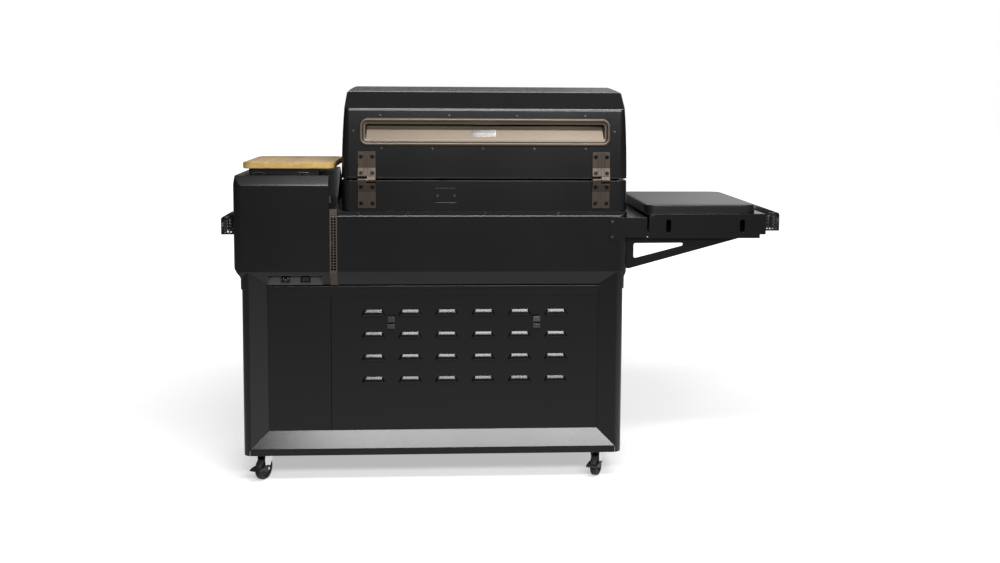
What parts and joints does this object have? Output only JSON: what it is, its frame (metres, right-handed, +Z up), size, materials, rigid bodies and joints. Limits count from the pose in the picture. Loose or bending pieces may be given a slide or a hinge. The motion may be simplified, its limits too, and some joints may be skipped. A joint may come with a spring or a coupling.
{
  "type": "pellet smoker grill",
  "caption": "Cart-mounted wood pellet smoker grill with a hinged barrel lid, pellet hopper under a wooden board, covered side cooktop, cabinet doors and swivel casters.",
  "frame": {"origin": "centre of the overall box, on the floor under the wheels", "axes": "+Z up, -Y the front with the doors and the control panel, +X towards the pellet hopper's end"},
  "size_m": [1.796, 0.635, 1.278],
  "materials": {
    "black_powder": "satin black powder coat with a fine texture",
    "grey_satin": "smooth satin dark grey paint",
    "inlet_grey": "satin dark grey paint",
    "bronze": "satin warm bronze metallic coat",
    "zinc": "bright zinc plate",
    "screw_black": "blackened steel",
    "stainless": "brushed stainless steel",
    "enamel": "black enamel",
    "black_plastic": "moulded black plastic",
    "glass_black": "black glass ceramic",
    "bamboo": "oiled bamboo board",
    "tread": "black rubber tread on a black hub"
  },
  "bodies": {
    "cart": {"base_pan": "black_powder", "corner_posts": "black_powder", "frame_rails": "black_powder", "side_panels": "black_powder", "rear_panel": "black_powder", "bin_panel": "black_powder", "post_caps": "black_powder", "cord_hooks": "black_powder", "hinge_pins": "zinc", "body_shell": "black_powder", "hopper_shell": "black_powder", "barrel_ring": "black_powder", "barrel_tub": "enamel", "fire_pot": "stainless", "auger_tube": "stainless", "fan_housing": "black_plastic", "hopper_bin": "enamel", "vent_strip": "bronze", "inlet_plate": "inlet_grey", "power_sockets": "black_plastic", "hinge_base_leaves": "bronze", "case_screws": "screw_black", "service_plate": "black_powder", "accessory_rails": "black_powder", "shelf_frame": "black_powder", "shelf_brackets": "black_powder", "shelf_tray": "black_powder", "shelf_rail": "black_powder", "cooktop": "glass_black", "controller": "black_plastic", "drip_tray": "enamel", "lower_grate": "enamel", "upper_grate": "enamel", "ash_keg": "enamel"},
    "lid": {"lid_shell": "black_powder", "exhaust_surround": "bronze", "badge_plate": "stainless", "hinge_lid_leaves": "bronze", "lid_handle": "bronze", "lid_screws": "screw_black"},
    "hopper_lid": {"hopper_board": "bamboo", "hopper_lid_frame": "black_powder"},
    "left_door": {"door_left": "black_powder", "handle_left": "bronze"},
    "right_door": {"door_right": "black_powder", "handle_right": "bronze"},
    "shelf_cover": {"cooktop_cover": "grey_satin"},
    "auger_screw": {"auger": "stainless"},
    "fan_rotor": {"fan_wheel": "zinc"},
    "button": {"power_button": "stainless"},
    "caster_1": {"fork_1": "zinc"},
    "tyre_1": {"wheel_1": "tread"},
    "caster_2": {"fork_2": "zinc"},
    "tyre_2": {"wheel_2": "tread"},
    "caster_3": {"fork_3": "zinc"},
    "tyre_3": {"wheel_3": "tread"},
    "caster_4": {"fork_4": "zinc"},
    "tyre_4": {"wheel_4": "tread"},
    "pedal_1": {"brake_1": "black_plastic"},
    "pedal_2": {"brake_2": "black_plastic"}
  },
  "joints": [
    {"name": "lid_hinge", "type": "hinge", "parent": "cart", "child": "lid", "pos_m": [0.059, 0.302, 0.982], "axis": [-1, 0, 0], "range_deg": [0, 75]},
    {"name": "hopper_lid_hinge", "type": "hinge", "parent": "cart", "child": "hopper_lid", "pos_m": [0.683, 0.277, 1.003], "axis": [-1, 0, 0], "range_deg": [0, 75]},
    {"name": "left_door_hinge", "type": "hinge", "parent": "cart", "child": "left_door", "pos_m": [-0.2965, -0.2175, 0.39], "axis": [0, 0, -1], "range_deg": [0, 100]},
    {"name": "right_door_hinge", "type": "hinge", "parent": "cart", "child": "right_door", "pos_m": [0.7405, -0.2175, 0.39], "axis": [0, 0, 1], "range_deg": [0, 100]},
    {"name": "cover_lift", "type": "slide", "parent": "cart", "child": "shelf_cover", "axis": [0, 0, 1], "range_m": [0, 0.12]},
    {"name": "auger_spin", "type": "hinge", "parent": "cart", "child": "auger_screw", "pos_m": [0.422, 0.0295, 0.74], "axis": [1, 0, 0], "continuous": true},
    {"name": "fan_spin", "type": "hinge", "parent": "cart", "child": "fan_rotor", "pos_m": [0.692, -0.1305, 0.67], "axis": [0, 0, 1], "continuous": true},
    {"name": "button_press", "type": "slide", "parent": "cart", "child": "button", "axis": [0, 0.5664, -0.8241], "range_m": [0, 0.002], "stiffness_N_per_m": 300, "springref_m": -0.001},
    {"name": "caster_1_swivel", "type": "hinge", "parent": "cart", "child": "caster_1", "pos_m": [0.767, 0.2335, 0.09], "axis": [0, 0, 1], "continuous": true},
    {"name": "tyre_1_roll", "type": "hinge", "parent": "caster_1", "child": "tyre_1", "pos_m": [0.7763, 0.25344, 0.0375], "axis": [0.9063, -0.4226, 0], "continuous": true},
    {"name": "pedal_1_press", "type": "hinge", "parent": "caster_1", "child": "pedal_1", "pos_m": [0.7763, 0.25344, 0.0375], "axis": [-0.9063, 0.4226, 0], "range_deg": [0, 12]},
    {"name": "caster_2_swivel", "type": "hinge", "parent": "cart", "child": "caster_2", "pos_m": [-0.323, 0.2335, 0.09], "axis": [0, 0, 1], "continuous": true},
    {"name": "tyre_2_roll", "type": "hinge", "parent": "caster_2", "child": "tyre_2", "pos_m": [-0.3137, 0.25344, 0.0375], "axis": [0.9063, -0.4226, 0], "continuous": true},
    {"name": "pedal_2_press", "type": "hinge", "parent": "caster_2", "child": "pedal_2", "pos_m": [-0.3137, 0.25344, 0.0375], "axis": [-0.9063, 0.4226, 0], "range_deg": [0, 12]},
    {"name": "caster_3_swivel", "type": "hinge", "parent": "cart", "child": "caster_3", "pos_m": [0.767, -0.1745, 0.09], "axis": [0, 0, 1], "continuous": true},
    {"name": "tyre_3_roll", "type": "hinge", "parent": "caster_3", "child": "tyre_3", "pos_m": [0.7763, -0.15456, 0.0375], "axis": [0.9063, -0.4226, 0], "continuous": true},
    {"name": "caster_4_swivel", "type": "hinge", "parent": "cart", "child": "caster_4", "pos_m": [-0.323, -0.1745, 0.09], "axis": [0, 0, 1], "continuous": true},
    {"name": "tyre_4_roll", "type": "hinge", "parent": "caster_4", "child": "tyre_4", "pos_m": [-0.3137, -0.15456, 0.0375], "axis": [0.9063, -0.4226, 0], "continuous": true}
  ]
}
